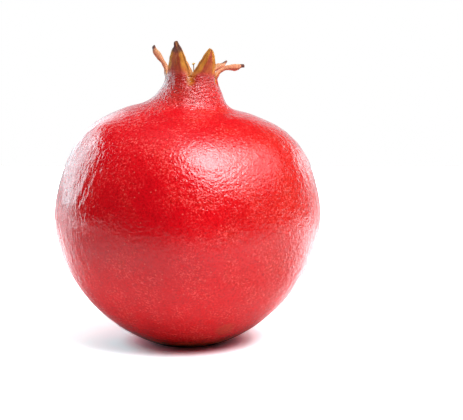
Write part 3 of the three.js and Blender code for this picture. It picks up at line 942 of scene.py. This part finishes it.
class POMEGRANATE_OT_rind(bpy.types.Operator):
    """Build the rind with its calyx tube, cup and lobes"""

    bl_idname = "pomegranate.rind"
    bl_label = "Rind and crown"

    def execute(self, context):
        settings = context.scene.pomegranate_rind
        material = rind_material(settings, context.scene.pomegranate_calyx)
        base = build_rind(settings)
        tree, values = relief_tree(settings, material)
        piece = bake_tree(base, tree, values, "rind_and_crown")
        give_to_part(piece, "fruit")
        return {"FINISHED"}


# ---- The stamens -----------------------------------------------------------------------------------


def anther_mesh(length):
    """A small oval anther, its length along Z."""
    skin = Skin(("anther",))
    azimuth = even_azimuths(ANTHER_SIDES)
    rings = []
    for share in (np.arange(ANTHER_RINGS) + 0.5) / ANTHER_RINGS:
        wide = math.sin(math.pi * share) ** ANTHER_FULLNESS
        x = ANTHER_WIDTH / 2 * wide * np.cos(azimuth)
        y = ANTHER_DEPTH / 2 * wide * np.sin(azimuth)
        points = np.stack([x, y, np.full(ANTHER_SIDES, share - 0.5)], axis=1) * length
        rings.append((points, dict(anther=1.0)))
    bottom, top = skin.stack(rings)
    skin.fan(bottom, (0, 0, -0.5 * length), over=False, anther=1.0)
    skin.fan(top, (0, 0, 0.5 * length), anther=1.0)
    return skin.make("one_anther")


def stamen_tree(settings, material, anther):
    """Geometry Nodes that set filaments with their anthers over the floral disc."""
    graph, given, values = new_tree("stamen_tuft", settings, STAMEN_SETTINGS)
    index = graph.out("GeometryNodeInputIndex")

    def random(low, high, salt):
        draw = {2: low, 3: high, 7: index, 8: given["seed"] + float(salt)}
        return graph.out("FunctionNodeRandomValue", draw, 1, data_type="FLOAT")

    def stray(most, salt):
        return random(-most, most, salt)

    def point(radius, azimuth, height):
        x = radius * graph.math("SINE", azimuth) + TUBE_OFFSET * MM
        y = radius * (graph.math("COSINE", azimuth) * -1.0)
        return graph.joined(x, y, height)

    share = graph.math("SQRT", graph.math("DIVIDE", index + 0.6, given["count"]))
    azimuth = index * ROOT_TURN + stray(ROOT_STRAY, 1)
    root = point(share * (ROOT_SPREAD * MM), azimuth, ROOT_HEIGHT * MM)
    is_tallest = graph.math("LESS_THAN", index, 0.5)
    tip_azimuth = graph.blend(is_tallest, azimuth + stray(TIP_STRAY, 2), TALLEST_AZIMUTH)
    tip_radius = share * random(TIP_SPREAD[0] * MM, TIP_SPREAD[1] * MM, 3)
    tip_radius = graph.blend(is_tallest, tip_radius, TALLEST_SPREAD * MM)
    tip_height = graph.blend(is_tallest, random(given["lowest"], given["highest"], 4), given["tallest"])
    tip = point(tip_radius, tip_azimuth, tip_height)
    sway = graph.joined(stray(SWAY * MM, 5), stray(SWAY * MM, 6))

    points = graph.out("GeometryNodePoints", {"Count": given["count"], "Position": root})
    held = {}
    as_vector = dict(data_type="FLOAT_VECTOR")
    for name, value in (("root", root), ("tip", tip), ("sway", sway)):
        stored = {"Geometry": points, "Name": name, "Value": value}
        points = graph.out("GeometryNodeStoreNamedAttribute", stored, domain="POINT", **as_vector)
        held[name] = graph.out("GeometryNodeInputNamedAttribute", {"Name": name}, "Attribute", **as_vector)

    line = graph.out("GeometryNodeCurvePrimitiveLine", {"End": (0.0, 0.0, 0.01)})
    line = graph.out("GeometryNodeResampleCurve", {"Curve": line, "Count": THREAD_POINTS})
    threads = graph.out("GeometryNodeInstanceOnPoints", {"Points": points, "Instance": line})
    threads = graph.out("GeometryNodeRealizeInstances", {"Geometry": threads})
    along = graph.out("GeometryNodeSplineParameter", None, "Factor")
    ends = {0: along, 4: held["root"], 5: held["tip"]}
    straight = graph.out("ShaderNodeMix", ends, 1, data_type="VECTOR")
    arch = graph.scaled(held["sway"], graph.math("SINE", along * math.pi))
    place = graph.vector("ADD", straight, arch)
    threads = graph.out("GeometryNodeSetPosition", {"Geometry": threads, "Position": place})
    ring = {"Resolution": THREAD_SIDES, "Radius": given["thread_radius"]}
    ring = graph.out("GeometryNodeCurvePrimitiveCircle", ring)
    tube = {"Curve": threads, "Profile Curve": ring, "Fill Caps": True}
    threads = graph.out("GeometryNodeCurveToMesh", tube)

    heads = graph.out("GeometryNodeSetPosition", {"Geometry": points, "Position": held["tip"]})
    turn = graph.joined(
        graph.blend(is_tallest, stray(ANTHER_LEAN, 7), 0.0),
        graph.blend(is_tallest, stray(ANTHER_LEAN, 8), TALLEST_LEAN),
        graph.blend(is_tallest, random(0.0, math.tau, 9), 0.0),
    )
    shape = graph.out("GeometryNodeObjectInfo", {"Object": anther}, "Geometry")
    heads = {"Points": heads, "Instance": shape, "Rotation": turn, "Scale": random(*ANTHER_SCALES, 10)}
    heads = graph.out("GeometryNodeInstanceOnPoints", heads)
    heads = graph.out("GeometryNodeRealizeInstances", {"Geometry": heads})
    whole = graph.node("GeometryNodeJoinGeometry")
    for geometry in (given["Geometry"], threads, heads):
        graph.feed(whole.inputs[0], geometry)
    whole = Wire(graph, whole.outputs[0])
    end_tree(graph, graph.out("GeometryNodeSetShadeSmooth", {"Geometry": whole}), material)
    return graph.tree, values


def floral_disc():
    """The dried disc on the cup's floor that the stamens grow from."""
    skin = Skin(("disc",))
    azimuth = even_azimuths(DISC_SIDES)
    rings = []
    for share in even_shares(DISC, DISC_SPACING):
        radius, height = section_curve(DISC, share)
        lumps = 1 + DISC_LUMPS * np.sin(7 * azimuth) * smoothstep(radius, 1, 4)
        rings.append((around(TUBE_OFFSET, radius * lumps, azimuth, DISC_BOTTOM + height), dict(disc=1.0)))
    bottom, top = skin.stack(rings)
    skin.fan(bottom, (TUBE_OFFSET, 0, DISC_BOTTOM), over=False, disc=1.0)
    skin.fan(top, (TUBE_OFFSET, 0, DISC_BOTTOM + DISC[-1][1]), disc=1.0)
    return skin.make("floral_disc")


def stamen_material(settings):
    """Brown threads, golden anthers and a darker disc."""
    material, graph, place = new_material("dried_stamens")
    grain = graph.noise(place, 0.0007)
    patch = graph.noise(place, 0.003)
    colour = graph.colour(graph.zone("anther"), settings.thread, settings.anther)
    colour = graph.colour(graph.zone("disc"), colour, settings.disc)
    colour = graph.paint(colour, settings.disc, patch, 0.4, 0.8, 0.6)
    finish_material(graph, colour, graph.ramp(grain, 0.2, 0.8, 0.6, 0.85), grain, STAMEN_BUMP)
    return material


class POMEGRANATE_OT_stamens(bpy.types.Operator):
    """Build the dried stamens and the floral disc in the cup"""

    bl_idname = "pomegranate.stamens"
    bl_label = "Stamens"

    def execute(self, context):
        settings = context.scene.pomegranate_stamens
        material = stamen_material(settings)
        anther = anther_mesh(settings.anther_length / MM)
        tree, values = stamen_tree(settings, material, anther)
        piece = bake_tree(floral_disc(), tree, values, "stamen_tuft")
        bpy.data.objects.remove(anther)
        give_to_part(piece, "stamens")
        return {"FINISHED"}


# ---- The stem stub ---------------------------------------------------------------------------------


def build_stub():
    """The cut stalk: barked side, and a cut face with a ring of bark and a pith."""
    skin = Skin(("cut",))
    azimuth = even_azimuths(STUB_SIDES)
    rings = []
    for share in even_shares(STUB, STUB_SPACING):
        radius, height = section_curve(STUB, share)
        on_side = smoothstep(height, *BARK_START)
        bark = BARK_HEIGHT * np.sin(9 * azimuth + 2 * height) * np.sin(4 * azimuth - height)
        barked = radius * (1 - BARK_SINK * on_side) + bark * on_side * smoothstep(radius, 1, 2)
        rings.append((around(0, barked, azimuth, height), dict(cut=1 - smoothstep(height, *CUT_END))))
    bottom, top = skin.stack(rings)
    skin.fan(bottom, (0, 0, STUB_BOTTOM + PITH_DEPTH), over=False, cut=1.0)
    skin.fan(top, (0, 0, STUB_TOP))
    return skin.make("stem_stub_bark")


def stub_material(settings):
    """Streaked bark, and paler ringed wood on the cut face."""
    material, graph, place = new_material("stalk_bark")
    fibre = graph.noise(place, 0.0006, 4.0, 0.6, stretch=(1.0, 1.0, 0.3))
    from_axis = graph.vector("LENGTH", graph.vector("MULTIPLY", place, (1.0, 1.0, 0.0)))
    rings = graph.math("SINE", from_axis * WOOD_RINGS)
    bark = graph.paint(settings.bark, settings.pale_bark, fibre, 0.3, 0.7)
    wood = graph.paint(settings.wood, settings.bark, rings, -1.0, 1.0, 0.5)
    colour = graph.colour(graph.zone("cut"), bark, wood)
    finish_material(graph, colour, graph.ramp(fibre, 0.0, 1.0, 0.7, 0.9), fibre, STUB_BUMP)
    return material


class POMEGRANATE_OT_stub(bpy.types.Operator):
    """Build the cut end of the stalk under the fruit"""

    bl_idname = "pomegranate.stub"
    bl_label = "Stem stub"

    def execute(self, context):
        piece = build_stub()
        piece.data.materials.append(stub_material(context.scene.pomegranate_stub))
        give_to_part(piece, "stem_stub")
        return {"FINISHED"}


# ---- The stage -------------------------------------------------------------------------------------

# Where the fruit's axis lies from the picture's middle, and the picture's width, in pixels.
PICTURE_WIDTH = 463
AXIS_PIXELS_LEFT = 44.1
AXIS_PIXELS_UP = -1.0
SENSOR_WIDTH = 36.0
WIDEST_HEIGHT = 49.6
MIDDLE = Vector((0, 0, WIDEST_HEIGHT * MM))

WHITE = (1.0, 1.0, 1.0)
SOFTBOX_WHITE = (0.98, 0.95, 1.0)
COOL_WHITE = (0.86, 0.95, 1.0)
COOLEST_WHITE = (0.624, 0.94, 1.0)
BACKDROP_WHITE = (0.84, 0.95, 1.0)

# Each softbox: name, setting that lights it and its share of it, azimuth, elevation, distance, width,
# height, colour and shape.
SOFTBOXES = (
    ("key_middle", "key_light", 0.68, 33, 51.5, 0.70, 0.34, 0.44, SOFTBOX_WHITE, "RECTANGLE"),
    ("key_softbox", "key_light", 0.44, 43, 60, 0.71, 0.60, 0.58, SOFTBOX_WHITE, "ELLIPSE"),
    ("key_edge", "key_light", 0.24, 70, 47, 0.72, 0.86, 0.66, COOL_WHITE, "ELLIPSE"),
    ("left_softbox", "side_light", 1.0, -116, 18, 0.9, 0.48, 0.62, COOLEST_WHITE, "RECTANGLE"),
    ("back_left_softbox", "side_light", 0.4, -149, 15.5, 0.9, 0.60, 0.50, COOLEST_WHITE, "RECTANGLE"),
    ("shoulder_softbox", "side_light", 0.4, -131, 31, 0.9, 0.40, 0.26, COOLEST_WHITE, "ELLIPSE"),
    ("back_right_softbox", "side_light", 0.5, 150, 6, 0.9, 0.22, 0.18, COOLEST_WHITE, "RECTANGLE"),
)

# The floor's edges from the fruit's axis, in metres.
FLOOR_NEAR = -0.32
FLOOR_FAR = 0.5
FLOOR_SIDE = 0.9
# Painted shadow: the camera sees the cast shadow painted darker near the axis and brighter further out. For
# each colour:
# where the shadow's core ends in metres from the axis, the gain in the core, the gain round it, and what is
# added towards its edge.
SHADOW_GAINS = {
    "Red": (0.006, 0.90, 1.74, 0.44),
    "Green": (0.017, 0.56, 2.06, 0.46),
    "Blue": (0.017, 0.65, 2.06, 0.38),
}
# How far out, in metres, the painted shadow's middle, its edge and its end lie, and the gain added past its
# end.
SHADOW_MIDDLE = 0.028
SHADOW_EDGE = 0.045
SHADOW_END = (0.048, 0.070)
END_GAIN = 2.5


def add_camera(settings):
    data = bpy.data.cameras.new("camera")
    data.lens = settings.lens
    data.sensor_width = SENSOR_WIDTH
    camera = link_object("camera", data)
    down = settings.elevation
    forward = Vector((0, math.cos(down), -math.sin(down)))
    upward = Vector((0, math.sin(down), math.cos(down)))
    pixel = settings.distance * SENSOR_WIDTH / settings.lens / PICTURE_WIDTH
    shift = Vector((1, 0, 0)) * AXIS_PIXELS_LEFT * pixel - upward * AXIS_PIXELS_UP * pixel
    camera.location = MIDDLE - forward * settings.distance + shift
    camera.rotation_euler = (math.pi / 2 - down, 0, 0)
    bpy.context.scene.camera = camera


def add_softbox(name, radiance, azimuth, elevation, distance, width, height, colour, shape):
    """An area light of an even radiance that faces the fruit's middle."""
    data = bpy.data.lights.new(name, "AREA")
    data.shape = shape
    data.size = width
    data.size_y = height
    area = width * height * (math.pi / 4 if shape == "ELLIPSE" else 1)
    data.energy = radiance * math.pi * area
    data.color = colour
    light = link_object(name, data)
    up = math.radians(elevation)
    direction = Vector(around(0, math.cos(up), math.radians(azimuth), math.sin(up)))
    light.location = MIDDLE + direction * distance
    light.rotation_euler = direction.to_track_quat("Z", "Y").to_euler()


def add_world(settings):
    """White to the camera; to the fruit, a cool backdrop, a dim ceiling and a dark room in front."""
    world = bpy.data.worlds.new("studio")
    world.use_nodes = True
    world.node_tree.nodes.clear()
    bpy.context.scene.world = world
    graph = Graph(world.node_tree)
    _, y, z = graph.axes(graph.out("ShaderNodeTexCoord", None, "Generated"))
    behind = graph.ramp(y, 0.56, 0.66) * graph.ramp(z, 0.29, 0.16)
    light = graph.blend(behind, settings.room_light, settings.backdrop_light)
    light = light + graph.ramp(z, 0.78, 0.95, 0.0, settings.ceiling_light)
    seen = graph.out("ShaderNodeLightPath", None, "Is Camera Ray")
    background = graph.out("ShaderNodeBackground", {
        "Color": graph.colour(seen, BACKDROP_WHITE, WHITE), "Strength": graph.blend(seen, light, 1.0),
    })
    graph.node("ShaderNodeOutputWorld", {"Surface": background})


def floor_material():
    """To the camera, the cast shadow with painted shadow and light on it; to the fruit, painted light behind
    and far to the left, and painted shade near it, in front and on the left, weaker in red.
    """
    material, graph, place = new_material("floor_painted_shadow_and_light")
    seen = graph.out("ShaderNodeLightPath", None, "Is Camera Ray")
    away = graph.vector("LENGTH", place)
    x, y, _ = graph.axes(place)
    # Painted light: to the fruit, the floor is brighter in a band behind it and far to its left.
    behind = graph.ramp(y, -0.02, 0.08, 0.0, 1.3) - graph.ramp(y, 0.12, 0.26, 0.0, 0.8)
    behind = behind * graph.ramp(x, -0.06, 0.02, 0.8, 1.0) + graph.ramp(x, -0.22, -0.42, 0.0, 0.8)
    # Painted shade: to the fruit, the floor is darker in front of it, on its left and close to it, less so
    # in red.
    in_front = graph.ramp(y, -0.20, -0.08, 0.35, 1.0)
    aside = graph.ramp(x, -0.20, -0.08, 0.55, 1.0)
    cool = (graph.ramp(away, 0.012, 0.055, 0.18, 0.46) + graph.ramp(away, 0.07, 0.13, 0.0, 0.22)) * aside
    warm = graph.ramp(away, 0.012, 0.055, 0.18, 0.95) * graph.blend(0.5, aside, 1.0)
    painted_for_fruit = {"Red": warm, "Green": cool, "Blue": cool}
    painted_floor = {}
    # The camera sees the cast shadow with painted shadow and painted light on it: darker near the axis,
    # brighter further out.
    for name, (core, dark, light, edge) in SHADOW_GAINS.items():
        gain = graph.ramp(away, core, SHADOW_MIDDLE, dark, light)
        gain = gain + graph.ramp(away, SHADOW_MIDDLE, SHADOW_EDGE, 0.0, edge)
        gain = gain + graph.ramp(away, *SHADOW_END, 0.0, END_GAIN)
        painted_floor[name] = graph.blend(seen, painted_for_fruit[name] * in_front + behind, gain)
    painted_floor = graph.out("ShaderNodeCombineColor", painted_floor)
    graph.node("ShaderNodeOutputMaterial", {"Surface": graph.out("ShaderNodeBsdfDiffuse", {"Color": painted_floor})})
    return material


def add_floor():
    """A plain flat surface with a painted shadow and painted light, from just in front of the fruit to far
    behind it.
    """
    mesh = bpy.data.meshes.new("floor")
    corners = [(-FLOOR_SIDE, FLOOR_NEAR, 0), (FLOOR_SIDE, FLOOR_NEAR, 0),
               (FLOOR_SIDE, FLOOR_FAR, 0), (-FLOOR_SIDE, FLOOR_FAR, 0)]
    mesh.from_pydata(corners, [], [(0, 1, 2, 3)])
    mesh.materials.append(floor_material())
    floor = link_object("floor", mesh)


class POMEGRANATE_OT_stage(bpy.types.Operator):
    """Set the floor, the studio light and the camera"""

    bl_idname = "pomegranate.stage"
    bl_label = "Stage"

    def execute(self, context):
        settings = context.scene.pomegranate_stage
        add_floor()
        add_world(settings)
        for name, light, share, *box in SOFTBOXES:
            add_softbox(name, getattr(settings, light) * share, *box)
        add_camera(settings)
        context.scene.view_settings.view_transform = "Standard"
        return {"FINISHED"}


# ---- Panel and run ---------------------------------------------------------------------------------


class POMEGRANATE_PT_panel(bpy.types.Panel):
    """Lists the pieces and their settings"""

    bl_idname = "POMEGRANATE_PT_panel"
    bl_label = "Pomegranate"
    bl_space_type = "VIEW_3D"
    bl_region_type = "UI"
    bl_category = "Pomegranate"

    def draw(self, context):
        for operator, names in PIECES:
            box = self.layout.box()
            box.operator(operator.bl_idname)
            for name in names:
                settings = getattr(context.scene, name)
                for key in settings.__annotations__:
                    box.prop(settings, key)


SETTINGS = {
    "pomegranate_rind": PomegranateRind,
    "pomegranate_calyx": PomegranateCalyx,
    "pomegranate_stamens": PomegranateStamens,
    "pomegranate_stub": PomegranateStub,
    "pomegranate_stage": PomegranateStage,
}
PIECES = (
    (POMEGRANATE_OT_rind, ("pomegranate_rind", "pomegranate_calyx")),
    (POMEGRANATE_OT_stamens, ("pomegranate_stamens",)),
    (POMEGRANATE_OT_stub, ("pomegranate_stub",)),
    (POMEGRANATE_OT_stage, ("pomegranate_stage",)),
)
CLASSES = (*SETTINGS.values(), *(operator for operator, _ in PIECES), POMEGRANATE_PT_panel)


def register():
    for made in CLASSES:
        bpy.utils.register_class(made)
    for name, group in SETTINGS.items():
        setattr(bpy.types.Scene, name, bpy.props.PointerProperty(type=group))


def unregister():
    for name in SETTINGS:
        delattr(bpy.types.Scene, name)
    for made in reversed(CLASSES):
        bpy.utils.unregister_class(made)


def main():
    register()
    bpy.ops.pomegranate.rind()
    bpy.ops.pomegranate.stamens()
    bpy.ops.pomegranate.stub()
    bpy.ops.pomegranate.stage()


if __name__ == "__main__":
    main()
